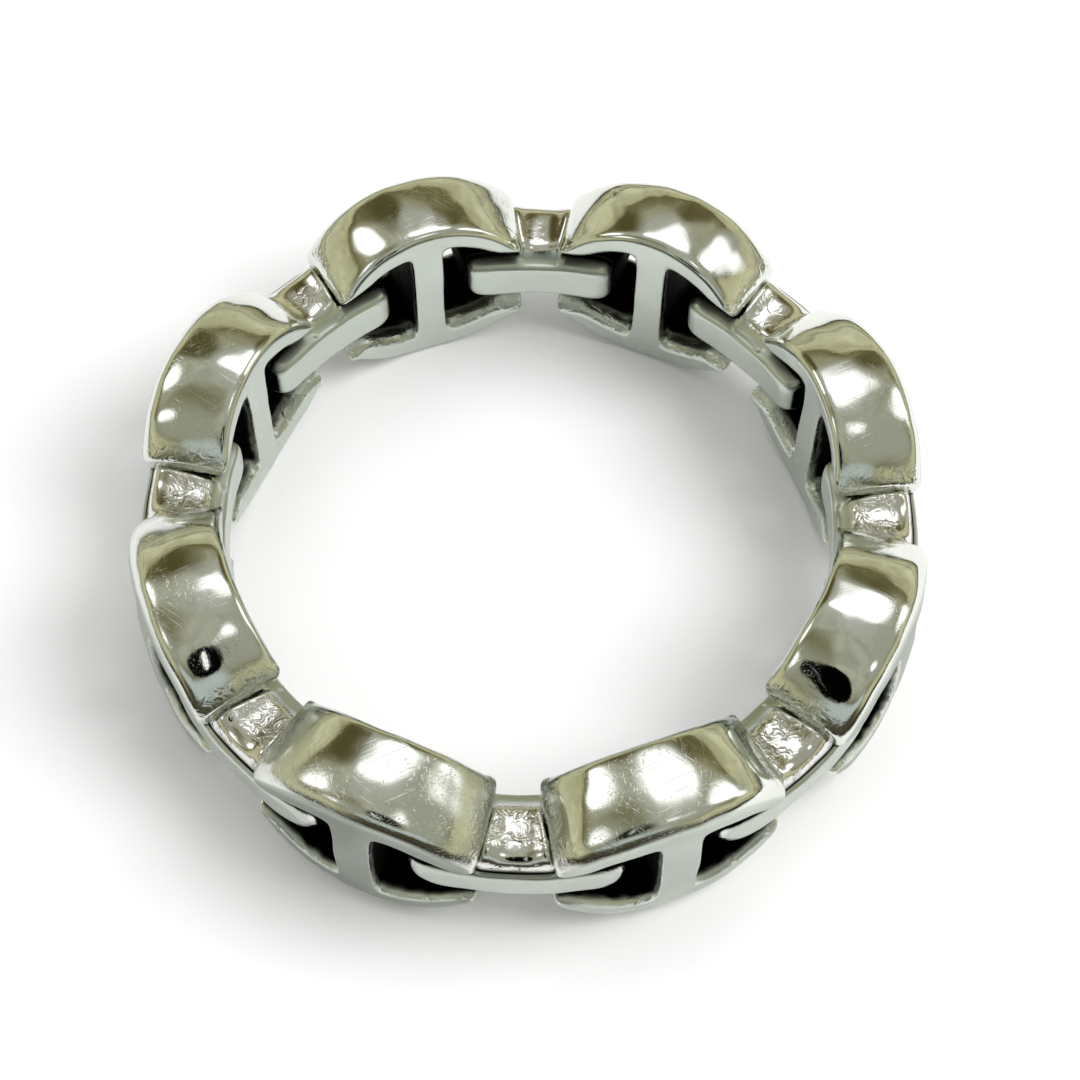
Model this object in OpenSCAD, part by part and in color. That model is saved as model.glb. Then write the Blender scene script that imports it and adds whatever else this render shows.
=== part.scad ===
// Finger ring made as a closed chain: tall anchor links stand side by side round the finger,
// and a low cross link ties each to the next. The ring lies on its side, so the finger goes in
// along Z, and the links' arched sides are their tops and bottoms.

/* [Ring] */
// Diameter of the finger hole
finger_d = 19; // [15:0.5:23]
// Number of anchor links, and of cross links
link_count = 8; // [7:1:9]

/* [Anchor link] */
// Height of the link at the finger, middle of the arch
link_h = 6.2; // [5.6:0.1:7]
// Height of the link at its outer face, middle of the arch
outer_h = 5.8; // [5.2:0.1:6.6]
// Height of the link's two ends at the finger
tip_h = 2.95; // [2.9:0.05:3.4]
// Height of the link's two ends at the outer face
outer_tip_h = 2.8; // [2.4:0.1:3.2]
// Swell of the arched sides between finger and outer face
side_swell = 0.12; // [0.02:0.02:0.3]
// Radial depth from the finger to the edge of the outer face
link_depth = 2.8; // [2.7:0.05:3.2]
// Swell of the outer face beyond its edge
face_swell = 0.25; // [0.05:0.05:0.5]
// Gap between neighbouring anchor links at the finger
finger_gap = 1.3; // [1.1:0.1:1.7]
// Gap between neighbouring anchor links at the outer face
outer_gap = 2.4; // [2.2:0.1:2.8]
// Width of the middle bar at the finger
bar_w = 1; // [0.7:0.1:1.3]
// Width of the middle bar at the outer face
outer_bar_w = 1.2; // [0.8:0.1:1.5]
// Height of each rail at the finger
rail_h = 1; // [0.8:0.05:1.3]
// Height of each rail at the outer face
outer_rail_h = 1.1; // [0.9:0.05:1.3]
// Radius of the window corners beside the middle bar
window_corner_r = 0.3; // [0.1:0.05:0.5]
// Diameter of the round bar that closes each end of the link
end_bar_d = 1; // [0.8:0.05:1.1]

/* [Cross link] */
// Radial depth of the cross link
cross_depth = 2.6; // [2.4:0.05:2.7]
// Height of the inner bar, against the finger
inner_bar_h = 1.4; // [1.2:0.05:1.6]
// Height of the outer bar
outer_cross_bar_h = 1.3; // [1.1:0.05:1.5]
// Height of the cross link halfway between the two bars
cross_h = 1.9; // [1.7:0.05:2]
// Length of the inner bar
inner_bar_l = 4.5; // [4.3:0.1:4.9]
// Length of the outer bar
outer_cross_bar_l = 6.1; // [5.8:0.1:6.4]
// Distance between the cross link's two eyes
eye_span = 3.2; // [3:0.1:3.4]
// Radius of the bars' rounded ends
nose_r = 0.45; // [0.2:0.05:0.6]

/* [Fit] */
// Free play round an end bar in its eye, and beside a cross link in its slot
play = 0.1; // [0.06:0.02:0.14]
// Room above and below the inner bar in its slot
inner_slot_room = 0.7; // [0.5:0.05:0.8]

/* [Hidden] */

finger_r = finger_d / 2;
// Angle from the middle of an anchor link to the middle of the next cross link
half_pitch = 180 / link_count;
outer_r = finger_r + link_depth;
cross_r = finger_r + cross_depth;
eye_r = finger_r + cross_depth / 2;
eye_d = end_bar_d + 2 * play;
eye_angle = asin(eye_span / 2 / eye_r);
// Slots in the link's ends: wide at the finger, and a close fit at the outer face
slot_h = inner_bar_h + 2 * inner_slot_room;
outer_slot_h = outer_cross_bar_h + 2 * play;
// How far a cutting shape runs past the surface that it cuts
overrun = 0.6;
// How far the cross link's outline stays inside the finger hole between its inner corners
plan_lip = 0.05;
// Steps of the arch along the link, of its sides across the link, of a rounded corner, of the
// cross link's swollen sides, and of the outer face's swell
arch_steps = 14;
side_steps = 6;
corner_steps = 5;
cross_steps = 8;
face_steps = 8;
// Part of its ellipse that the arch spans, where 1 would end upright
arch_span = 0.88;
round_fn = 96;
bar_fn = 32;

function mix(a, b, t) = a + (b - a) * t;

// Radius at a share t of the link's depth, 0 at the finger and 1 at the outer face's edge
function radius_at(t) = mix(finger_r, outer_r, t);

// Half the anchor link's length at a share t of its depth
function half_length(t) =
    let (gap = mix(finger_gap, outer_gap, t), r = radius_at(t))
    r * sin(half_pitch - asin(gap / 2 / r));

// Fall of the arch at a share u of the half length, from 0 at the middle to 1 at the end
function arch_fall(u) =
    (1 - sqrt(max(0, 1 - pow(arch_span * u, 2)))) / (1 - sqrt(1 - pow(arch_span, 2)));

// Half height of the arched link at shares u along it and t across it
function arch_z(u, t) =
    mix(mix(link_h, outer_h, t) / 2, mix(tip_h, outer_tip_h, t) / 2, arch_fall(u))
    + 4 * side_swell * t * (1 - t);

// Shares across the depth where the sides have their points, from past the finger side to
// past the outer face
side_shares =
    let (past = overrun / link_depth)
    [for (k = [0:side_steps]) mix(-past, 1 + past, k / side_steps)];

// Height of the ring's middle: the arches' crests rest at zero
ring_z = max([for (t = side_shares) arch_z(0, t)]);

// A point of the arched link's upper or lower side
function arch_point(u, t, side) =
    let (x = u * half_length(t), r = radius_at(t))
    [x, sqrt(r * r - x * x), side * arch_z(u, t)];

// Half height of a window at distance x from the link's middle: it runs parallel to the arch,
// rounds into the middle bar, and levels off as the slot for the cross link
function window_z(x, t) =
    let (
        bar = mix(bar_w, outer_bar_w, t) / 2,
        corner = window_corner_r,
        inset = max(0, corner - (x - bar)),
        rail = mix(rail_h, outer_rail_h, t),
        slot = mix(slot_h, outer_slot_h, t) / 2
    )
    max(slot, arch_z(x / half_length(t), t) - 4 * side_swell * t * (1 - t) - rail
        - corner + sqrt(max(0, corner * corner - inset * inset)));

// Outline of a window at a share t of the depth, from the bar to past the link's end
function window_outline(t) =
    let (
        bar = mix(bar_w, outer_bar_w, t) / 2,
        last = half_length(t) + overrun,
        corner_x = [for (i = [0:corner_steps - 1])
            bar + window_corner_r * (1 - cos(90 * i / corner_steps))],
        arch_x = [for (i = [0:arch_steps / 2])
            mix(bar + window_corner_r, last, i / (arch_steps / 2))],
        xs = concat(corner_x, arch_x),
        n = len(xs)
    )
    concat(
        [for (i = [0:n - 1]) [xs[i], window_z(xs[i], t)]],
        [for (i = [n - 1:-1:0]) [xs[i], -window_z(xs[i], t)]]
    );

// Half height of the cross link at a share t of its depth, swollen between its two bars
function cross_z(t) =
    let (bars_h = (inner_bar_h + outer_cross_bar_h) / 2)
    mix(inner_bar_h, outer_cross_bar_h, t) / 2 + 2 * (cross_h - bars_h) * t * (1 - t);

// Point at a radius and at an angle from the middle of the cross link, in plan
function plan_point(r, angle) = [r * sin(angle), r * cos(angle)];

// Plan outline of the cross link as rows [point, corner radius]. Between its corners the inner
// side runs just inside the finger hole, and the outer side stands clear of the outer bar
function cross_plan() =
    let (
        inner_angle = asin(inner_bar_l / 2 / finger_r),
        outer_angle = asin(outer_cross_bar_l / 2 / cross_r)
    )
    [
        [plan_point(cross_r, -outer_angle), nose_r],
        [plan_point(finger_r, -inner_angle), nose_r],
        [plan_point(finger_r - plan_lip, -inner_angle / 2), 0],
        [plan_point(finger_r - plan_lip, inner_angle / 2), 0],
        [plan_point(finger_r, inner_angle), nose_r],
        [plan_point(cross_r, outer_angle), nose_r],
        [plan_point(cross_r / cos(outer_angle), 0), 0]
    ];

// Outline of rows [point, corner radius], anticlockwise, with its corners as arcs
function rounded(rows, steps) = [
    for (i = [0:len(rows) - 1])
        let (
            n = len(rows),
            p = rows[i][0],
            r = rows[i][1],
            a = rows[(i + n - 1) % n][0] - p,
            b = rows[(i + 1) % n][0] - p,
            ua = a / norm(a),
            ub = b / norm(b),
            half = acos(ua * ub) / 2,
            middle = (ua + ub) / norm(ua + ub),
            centre = p + middle * r / sin(half),
            from = p + ua * r / tan(half) - centre,
            turn = 180 - 2 * half
        )
        each r == 0 ? [p] : [
            for (k = [0:steps])
                let (w = turn * k / steps)
                centre + [from.x * cos(w) - from.y * sin(w), from.x * sin(w) + from.y * cos(w)]
        ]
];

// Closed solid through a list of equal rings of points, anticlockwise as seen from the last
module skin(rings) {
    n = len(rings[0]);
    last = len(rings) - 1;
    points = [for (ring = rings) each ring];
    polyhedron(
        points = points,
        faces = concat(
            [[for (k = [0:n - 1]) k]],
            [for (i = [0:last - 1]) for (k = [0:n - 1])
                [i * n + k, (i + 1) * n + k, (i + 1) * n + (k + 1) % n, i * n + (k + 1) % n]],
            [[for (k = [n - 1:-1:0]) last * n + k]]
        ),
        convexity = 6
    );
}

// The link's arched body before its outer face, finger side and windows are cut
module arched_body() {
    ts = side_shares;
    skin([
        for (i = [0:arch_steps])
            let (u = 2 * i / arch_steps - 1)
            concat(
                [for (t = ts) arch_point(u, t, -1)],
                [for (k = [side_steps:-1:0]) arch_point(u, ts[k], 1)]
            )
    ]);
}

// Barrel whose swell is the outer face: it curves tighter than the ring, to meet the
// cross links' outer bars at both ends
module outer_face_barrel() {
    end_angle = half_pitch - asin(outer_gap / 2 / cross_r);
    half_chord = cross_r * sin(end_angle);
    drop = outer_r - cross_r * cos(end_angle);
    plan_r = (half_chord * half_chord + drop * drop) / 2 / drop;
    half_h = link_h / 2 + overrun;
    translate([0, outer_r - plan_r, 0])
        rotate_extrude($fn = round_fn)
            polygon(concat(
                [[0, -half_h]],
                [for (i = [0:face_steps])
                    let (z = mix(-half_h, half_h, i / face_steps))
                    [plan_r + face_swell * (1 - pow(z / (outer_h / 2), 2)), z]],
                [[0, half_h]]
            ));
}

// Tapered window on one side of the middle bar, open through the link's end
module window(side) {
    inner_t = -overrun / link_depth;
    outer_t = 1 + overrun / link_depth;
    inner = window_outline(inner_t);
    outer = window_outline(outer_t);
    mirror([side < 0 ? 1 : 0, 0, 0])
        skin([
            [for (p = inner) [p.x, finger_r / 2, p.y]],
            [for (p = inner) [p.x, sqrt(pow(radius_at(inner_t), 2) - p.x * p.x), p.y]],
            [for (p = outer) [p.x, sqrt(pow(radius_at(outer_t), 2) - p.x * p.x), p.y]],
            [for (p = outer) [p.x, radius_at(outer_t) + overrun, p.y]]
        ]);
}

// Round bar that closes one end of the link, where the cross link's eye hangs
module end_bar(side) {
    angle = side * (half_pitch - eye_angle);
    h = min(tip_h, outer_tip_h);
    translate([eye_r * sin(angle), eye_r * cos(angle), -h / 2])
        cylinder(d = end_bar_d, h = h, $fn = bar_fn);
}

// One tall link: two arched rails, a middle bar and a round bar across each end
module anchor_link(i) {
    color("silver")
        translate([0, 0, ring_z])
            rotate([0, 0, (i - 0.5) * 2 * half_pitch - 90]) {
                difference() {
                    intersection() {
                        arched_body();
                        outer_face_barrel();
                    }
                    translate([0, 0, -link_h])
                        cylinder(r = finger_r, h = 2 * link_h, $fn = round_fn);
                    window(1);
                    window(-1);
                }
                end_bar(1);
                end_bar(-1);
            }
}

// Ring of the cross link's section: the two bars' flat faces, swollen above and below between
module cross_section_ring() {
    ts = [for (k = [0:cross_steps]) k / cross_steps];
    rotate_extrude($fn = round_fn)
        polygon(concat(
            [for (t = ts) [finger_r + cross_depth * t, -cross_z(t)]],
            [for (k = [cross_steps:-1:0]) [finger_r + cross_depth * ts[k], cross_z(ts[k])]]
        ));
}

// One low link: an inner and an outer bar, solid in the middle, with an eye at each end
module cross_link(i) {
    color("gainsboro")
        translate([0, 0, ring_z])
            rotate([0, 0, (i - 1) * 2 * half_pitch - 90])
                difference() {
                    intersection() {
                        cross_section_ring();
                        translate([0, 0, -cross_h])
                            linear_extrude(2 * cross_h)
                                polygon(rounded(cross_plan(), corner_steps));
                    }
                    for (side = [-1, 1])
                        rotate([0, 0, side * eye_angle])
                            translate([0, eye_r, -cross_h])
                                cylinder(d = eye_d, h = 2 * cross_h, $fn = bar_fn);
                }
}

for (i = [1:link_count])
    anchor_link(i);
for (i = [1:link_count])
    cross_link(i);
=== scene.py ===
"""The looks of a silver finger ring made as a closed chain, with its stage, lamps and camera."""

import logging
import math
from abc import ABC, abstractmethod
from collections.abc import Callable, Sequence
from dataclasses import dataclass
from enum import Enum

import bpy
from mathutils import Matrix, Vector, noise


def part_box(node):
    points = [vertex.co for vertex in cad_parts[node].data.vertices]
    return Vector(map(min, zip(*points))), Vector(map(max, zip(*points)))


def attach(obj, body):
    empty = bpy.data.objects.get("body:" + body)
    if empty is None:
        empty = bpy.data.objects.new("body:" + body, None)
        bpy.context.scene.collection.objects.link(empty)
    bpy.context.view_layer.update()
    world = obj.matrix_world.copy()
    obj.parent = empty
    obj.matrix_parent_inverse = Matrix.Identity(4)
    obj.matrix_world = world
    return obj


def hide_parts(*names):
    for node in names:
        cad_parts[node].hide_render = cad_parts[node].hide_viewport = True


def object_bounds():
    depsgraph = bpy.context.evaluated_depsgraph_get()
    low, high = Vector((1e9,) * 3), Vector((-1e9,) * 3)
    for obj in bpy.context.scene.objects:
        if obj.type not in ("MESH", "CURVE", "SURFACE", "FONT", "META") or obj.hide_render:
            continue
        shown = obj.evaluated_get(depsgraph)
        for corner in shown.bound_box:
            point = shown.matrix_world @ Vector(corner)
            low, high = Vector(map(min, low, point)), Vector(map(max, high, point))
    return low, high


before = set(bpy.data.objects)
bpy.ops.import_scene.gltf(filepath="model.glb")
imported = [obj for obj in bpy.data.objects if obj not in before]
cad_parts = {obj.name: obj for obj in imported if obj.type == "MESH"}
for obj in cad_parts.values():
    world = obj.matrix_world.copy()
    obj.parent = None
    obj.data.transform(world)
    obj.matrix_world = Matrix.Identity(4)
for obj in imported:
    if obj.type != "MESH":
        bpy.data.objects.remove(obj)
CAD_BOX = [list(corner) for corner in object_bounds()]

Pair = tuple[float, float]
Point = tuple[float, float, float]
Piece = bpy.types.Object
Tree = bpy.types.NodeTree
Socket = bpy.types.NodeSocket

LOG = logging.getLogger("chain_ring")
MM = 0.001

# A colour attribute of every link: red is satin, green tarnish and painted shade, blue casting skin and
# alpha wear.
FINISH_MASK = "finish_mask"

# A buffing wheel leaves even a flat face slightly wavy. The waves are this broad and this deep.
POLISH_WAVE_MM = 1.6
POLISH_DEPTH_MM = 0.09

# Faces that meet at more than this angle keep a crisp edge.
CREASE_DEGREES = 50

# The sockets of a Mix node that blends two colours.
FACTOR, COLOUR_A, COLOUR_B, BLEND = 0, 6, 7, 2


class Metal(Enum):
    """The record's material slots of the two kinds of link."""

    ANCHOR = "anchor_silver"
    CROSS = "cross_silver"


def mix(low: float, high: float, share: float) -> float:
    """Returns the value at a share of the way from low to high."""
    return low + (high - low) * share


def ease(low: float, high: float, value: float) -> float:
    """Returns how far value is from low to high, from 0 to 1, with soft ends."""
    share = min(1.0, max(0.0, (value - low) / (high - low)))
    return share * share * (3 - 2 * share)


def band(start: Pair, end: Pair, value: float) -> float:
    """Returns 1 between a soft start and a soft end, and 0 outside them."""
    return ease(*start, value) * (1 - ease(*end, value))


def swell(height: float, share: float) -> float:
    """Returns the height of a swelling that is full halfway and nothing at either end."""
    return 4 * height * share * (1 - share)


def quarter_round(radius: float, depth: float) -> float:
    """Tells how far a rounded corner falls back at a depth from its face.

    Args:
        radius: The corner's radius.
        depth: The distance from the face that the corner starts at.

    Returns:
        The distance from the square corner's other face.
    """
    rest = max(0.0, radius - depth)
    return radius - math.sqrt(max(0.0, radius * radius - rest * rest))


def direction(azimuth: float, elevation: float) -> Vector:
    """Returns the unit vector that points in a direction given in degrees."""
    turn, rise = math.radians(azimuth), math.radians(elevation)
    return Vector((math.cos(rise) * math.cos(turn), math.cos(rise) * math.sin(turn), math.sin(rise)))


def linear(hex_colour: str) -> tuple[float, float, float, float]:
    """Turns a colour to the linear values that Blender wants.

    Args:
        hex_colour: The sRGB colour, such as #c8ccc4.

    Returns:
        Red, green, blue and an alpha of 1.
    """
    channels = [int(hex_colour[i:i + 2], 16) / 255 for i in (1, 3, 5)]
    curved = [c / 12.92 if c <= 0.04045 else ((c + 0.055) / 1.055) ** 2.4 for c in channels]
    return (*curved, 1.0)


def add_node(tree: Tree, kind: str, inputs: dict | None = None, **settings: object) -> bpy.types.Node:
    """Adds a node to a tree, with its settings and what feeds it.

    Args:
        tree: The tree that gets the node.
        kind: The node's type.
        inputs: By the input's name or number, a value to set, a socket to link, or a node whose first
            output is linked.
        **settings: The node's own properties.

    Returns:
        The new node.
    """
    node = tree.nodes.new(kind)
    for name, value in settings.items():
        setattr(node, name, value)
    for name, value in (inputs or {}).items():
        if isinstance(value, bpy.types.Node):
            value = value.outputs[0]
        if isinstance(value, Socket):
            tree.links.new(value, node.inputs[name])
        else:
            node.inputs[name].default_value = value
    return node


def set_stops(ramp_node: bpy.types.Node, stops: Sequence[tuple[float, str]]) -> None:
    """Gives a colour ramp its stops.

    Args:
        ramp_node: The colour ramp.
        stops: Rows of (position, sRGB hex colour), in order.
    """
    elements = ramp_node.color_ramp.elements
    while len(elements) < len(stops):
        elements.new(1.0)
    for element, (position, colour) in zip(elements, stops):
        element.position = position
        element.color = linear(colour)


def glowing(name: str, brightness: float) -> bpy.types.Material:
    """Builds a material for the stage that shines evenly and mirrors nothing.

    Args:
        name: The material's name.
        brightness: How bright it is, where 1 is white to the camera.

    Returns:
        The material.
    """
    material = bpy.data.materials.new(name)
    material.use_nodes = True
    tree = material.node_tree
    tree.nodes.clear()
    level = (brightness,) * 3 + (1.0,)
    glow = add_node(tree, "ShaderNodeEmission", {"Color": level, "Strength": 1.0})
    add_node(tree, "ShaderNodeOutputMaterial", {"Surface": glow})
    return material


def select_only(piece: Piece) -> None:
    """Makes a piece the only selected and the active object.

    Args:
        piece: The piece.
    """
    bpy.ops.object.select_all(action="DESELECT")
    piece.select_set(True)
    bpy.context.view_layer.objects.active = piece


def apply_modifier(piece: Piece, kind: str, **settings: object) -> None:
    """Adds a modifier to a piece and applies it.

    Args:
        piece: The piece that is changed.
        kind: The modifier's type.
        **settings: The modifier's own properties.
    """
    select_only(piece)
    modifier = piece.modifiers.new(kind.title(), kind)
    for name, value in settings.items():
        setattr(modifier, name, value)
    bpy.ops.object.modifier_apply(modifier=modifier.name)


def shade_smooth(piece: Piece) -> None:
    """Shades a piece smooth, but for its crisp edges."""
    select_only(piece)
    bpy.ops.object.shade_smooth_by_angle(angle=math.radians(CREASE_DEGREES))


class Cage:
    """A block of cells that is cut out, thickened, formed and rounded into a link.

    Its columns run along the link, its rows up, and its layers out from the finger.
    """

    def __init__(self, name: str, columns: int, rows: int, layers: int) -> None:
        """Adds the flat grid that the block starts from, with cells of size 1 and its middle at the origin.

        Args:
            name: The piece's name.
            columns: The number of cells along the link.
            rows: The number of cells up.
            layers: The number of cells out from the finger.
        """
        bpy.ops.object.select_all(action="DESELECT")
        bpy.ops.mesh.primitive_grid_add(x_subdivisions=columns, y_subdivisions=rows, size=1)
        self.piece = bpy.context.active_object
        self.piece.name = self.piece.data.name = name
        self.layers = layers
        bpy.ops.object.mode_set(mode="EDIT")
        bpy.ops.transform.resize(value=(columns, rows, 1))
        bpy.ops.object.mode_set(mode="OBJECT")

    def cut_out(self, is_open: Callable[[float, float], bool]) -> None:
        """Deletes cells of the flat grid.

        Args:
            is_open: Says whether the cell whose middle is at (column, row) is left open.
        """
        bpy.ops.object.mode_set(mode="EDIT")
        bpy.ops.mesh.select_mode(type="FACE")
        bpy.ops.mesh.select_all(action="DESELECT")
        bpy.ops.object.mode_set(mode="OBJECT")
        for face in self.piece.data.polygons:
            face.select = is_open(face.center.x, face.center.y)
        bpy.ops.object.mode_set(mode="EDIT")
        bpy.ops.mesh.delete(type="FACE")
        bpy.ops.object.mode_set(mode="OBJECT")

    def thicken(self) -> None:
        """Extrudes the grid layer by layer, to a closed block."""
        bpy.ops.object.mode_set(mode="EDIT")
        bpy.ops.mesh.select_all(action="SELECT")
        for _ in range(self.layers):
            bpy.ops.mesh.extrude_region_move(TRANSFORM_OT_translate={"value": (0, 0, 1)})
        bpy.ops.object.mode_set(mode="OBJECT")

    def form(self, place: Callable[[float, float, int], Vector]) -> None:
        """Moves each corner of the cells to its place on the link, and turns the faces outwards.

        Args:
            place: Gives the place of the corner at (column, row, layer), in millimetres. Column and row
                count from the middle, and layer from the finger.
        """
        for vertex in self.piece.data.vertices:
            column, row, layer = (round(2 * c) / 2 for c in vertex.co)
            vertex.co = place(column, row, round(layer))
        bpy.ops.object.mode_set(mode="EDIT")
        bpy.ops.mesh.select_all(action="SELECT")
        bpy.ops.mesh.normals_make_consistent(inside=False)
        bpy.ops.object.mode_set(mode="OBJECT")

    def rounded(self, levels: int = 2) -> Piece:
        """Rounds the block by subdivision and returns the piece."""
        apply_modifier(self.piece, "SUBSURF", levels=levels, render_levels=levels)
        return self.piece


@dataclass(frozen=True)
class Ring:
    """The chain's layout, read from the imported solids, in millimetres and degrees.

    An eye and the end bar in it stand eye_depth outside the finger's circle, eye_reach to the side of the
    middle of their cross link.
    """

    finger_r: float
    cross_r: float
    middle_z: float
    anchors: tuple[str, ...]
    crosses: tuple[str, ...]
    eye_depth: float = 1.3
    eye_reach: float = 1.6
    round_sides: int = 32

    @classmethod
    def measured(cls) -> "Ring":
        """Reads the layout from the solids' meshes and their box.

        Returns:
            The ring's layout.
        """
        names = sorted(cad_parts)
        anchors = tuple(n for n in names if n.startswith("anchor_link"))
        crosses = tuple(n for n in names if n.startswith("cross_link"))
        reach = [v.co.xy.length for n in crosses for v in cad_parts[n].data.vertices]
        return cls(
            finger_r=min(reach) / MM,
            cross_r=max(reach) / MM,
            middle_z=CAD_BOX[1][2] / 2 / MM,
            anchors=anchors,
            crosses=crosses,
        )

    @property
    def half_pitch(self) -> float:
        """The angle from the middle of an anchor link to the middle of the next cross link."""
        return 180 / len(self.anchors)

    @property
    def eye_r(self) -> float:
        """The radius of the circle that the eyes stand on."""
        return self.finger_r + self.eye_depth

    @property
    def eye_turn(self) -> float:
        """The angle from the middle of a cross link to its eye, in radians."""
        return math.asin(self.eye_reach / self.eye_r)

    def azimuth(self, node: str) -> float:
        """Tells where a link stands in the ring.

        A turned link's box isn't quite centred on it, so the angle goes to the nearest place in the chain.

        Args:
            node: The link's solid.

        Returns:
            The direction in which the link's middle lies from the ring's axis.
        """
        low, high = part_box(node)
        middle = (low + high) / 2
        roughly = math.degrees(math.atan2(middle.y, middle.x))
        return round(roughly / self.half_pitch) * self.half_pitch

    def eye_cylinder(self, radius: float, height: float, turn: float) -> Piece:
        """Adds an upright cylinder on the circle of the eyes, for a link that lies along +Y.

        Args:
            radius: Its radius.
            height: Its height.
            turn: The angle from the link's middle to it, in radians.

        Returns:
            The cylinder.
        """
        bpy.ops.object.select_all(action="DESELECT")
        bpy.ops.mesh.primitive_cylinder_add(
            vertices=self.round_sides,
            radius=radius,
            depth=height,
            location=(self.eye_r * math.sin(turn), self.eye_r * math.cos(turn), 0),
        )
        return bpy.context.active_object

    def seat(self, link: Piece, node: str) -> Piece:
        """Copies a link that lies at the origin to its place in the ring.

        Args:
            link: The link to copy, in millimetres, with its outer side along +Y.
            node: The solid that the copy stands for.

        Returns:
            The copy, with its place in its mesh.
        """
        copy = link.copy()
        copy.data = link.data.copy()
        copy.name = copy.data.name = f"{node}_silver"
        bpy.context.scene.collection.objects.link(copy)
        turn = Matrix.Rotation(math.radians(self.azimuth(node) - 90), 4, "Z")
        copy.data.transform(
            Matrix.Scale(MM, 4) @ Matrix.Translation((0, 0, self.middle_z)) @ turn
        )
        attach(copy, "root")
        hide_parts(node)
        return copy


@dataclass(frozen=True)
class SilverFinish:
    """Sterling silver, cast in a mould, then buffed by hand and worn on a finger.

    The buffed domes are a warm white mirror, dimmed in clouds by haze and hairline scratches. The flat faces
    are satin and only glow. Where no wheel reaches, the mould's crinkled skin sparkles in small facets, and
    silver sulphide has turned the windows black. The same black, mixed in thinly, is painted shade on the
    outer faces. It is a metal, so its IOR stays at the default.
    """

    name: str

    # Polished silver mirrors nearly all light, and a little less of the blue.
    polished: str = "#dfe2db"

    # Satin silver scatters what it mirrors, which looks greyer and slightly green.
    satin: str = "#c9d0c7"

    # Silver sulphide swallows nearly all light. Mixed in thinly, this black is also the painted shade on the
    # outer faces.
    blackened: str = "#050505"

    # Roughness. Haze, scratches, casting skin and tarnish add theirs to the mirror's or the satin's.
    mirror_roughness: float = 0.045
    satin_roughness: float = 0.22
    haze_roughness: float = 0.15
    scratch_roughness: float = 0.06
    cast_roughness: float = 0.12
    tarnish_roughness: float = 0.6

    # Wear gathers in clouds of a few millimetres, and a little of it lies between them.
    wear_mm: float = 2.6
    wear_seed: float = 3.0
    wear_edges: Pair = (0.42, 0.6)
    least_wear: float = 0.15

    # Real scratches are a few microns wide. They are drawn many times wider, or none would show.
    scratch_mm: float = 0.055
    scratch_depth_mm: float = 0.007
    scratch_stretch: float = 55.0
    scratch_edges: Pair = (0.63, 0.73)
    scratch_turns: tuple[Point, ...] = ((0.1, 0.0, 0.5), (-0.2, 0.2, 1.7), (0.2, -0.1, 2.6))
    scratch_strength: float = 0.5

    # Buffing grit leaves a frost finer than this, which is drawn coarser so that it blurs the highlights.
    frost_mm: float = 0.07
    frost_depth_mm: float = 0.0012
    frost_strength: float = 0.6

    # The folds of the casting skin are drawn at their real size.
    crinkle_mm: float = 0.38
    crinkle_depth_mm: float = 0.08
    crinkle_twist: float = 0.9

    def material(self) -> bpy.types.Material:
        """Builds the finish.

        Returns:
            Its material.
        """
        material = bpy.data.materials.new(self.name)
        material.use_nodes = True
        tree = material.node_tree
        tree.nodes.clear()
        place = add_node(tree, "ShaderNodeTexCoord").outputs["Object"]
        mask = add_node(tree, "ShaderNodeAttribute", attribute_name=FINISH_MASK)
        satin, black, skin = add_node(tree, "ShaderNodeSeparateColor", {0: mask.outputs["Color"]}).outputs
        wear = self._wear(tree, place, mask.outputs["Alpha"])
        hairs = self._scratches(tree, place)
        scratches = add_node(tree, "ShaderNodeMath", {0: wear, 1: hairs}, operation="MULTIPLY").outputs[0]
        colours = {FACTOR: satin, COLOUR_A: linear(self.polished), COLOUR_B: linear(self.satin)}
        silver = add_node(tree, "ShaderNodeMix", colours, data_type="RGBA").outputs[BLEND]
        colours = {FACTOR: black, COLOUR_A: silver, COLOUR_B: linear(self.blackened)}
        tinted = add_node(tree, "ShaderNodeMix", colours, data_type="RGBA").outputs[BLEND]
        roughness = add_node(
            tree,
            "ShaderNodeMapRange",
            {"Value": satin, "To Min": self.mirror_roughness, "To Max": self.satin_roughness},
            clamp=False,
        ).outputs[0]
        for cover, added in (
            (wear, self.haze_roughness),
            (scratches, self.scratch_roughness),
            (skin, self.cast_roughness),
            (black, self.tarnish_roughness),
        ):
            terms = {0: cover, 1: added, 2: roughness}
            roughness = add_node(tree, "ShaderNodeMath", terms, operation="MULTIPLY_ADD").outputs[0]
        shader = add_node(
            tree,
            "ShaderNodeBsdfPrincipled",
            {
                "Base Color": tinted,
                "Metallic": 1.0,
                "Roughness": roughness,
                "Normal": self._relief(tree, place, scratches, skin),
            },
        )
        add_node(tree, "ShaderNodeOutputMaterial", {"Surface": shader})
        return material

    def _wear(self, tree: Tree, place: Socket, worn: Socket) -> Socket:
        """Adds the clouds of wear.

        Args:
            tree: The finish's nodes.
            place: The place on the ring, in metres.
            worn: How worn the link is, 0 to 1.

        Returns:
            How worn each point is.
        """
        clouds = add_node(
            tree,
            "ShaderNodeTexNoise",
            {"Vector": place, "W": self.wear_seed, "Scale": 1 / (self.wear_mm * MM), "Detail": 3.0},
            noise_dimensions="4D",
        )
        low, high = self.wear_edges
        edges = {"Value": clouds, "From Min": low, "From Max": high, "To Min": self.least_wear}
        rubbed = add_node(tree, "ShaderNodeMapRange", edges)
        return add_node(tree, "ShaderNodeMath", {0: rubbed, 1: worn}, operation="MULTIPLY").outputs[0]

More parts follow.
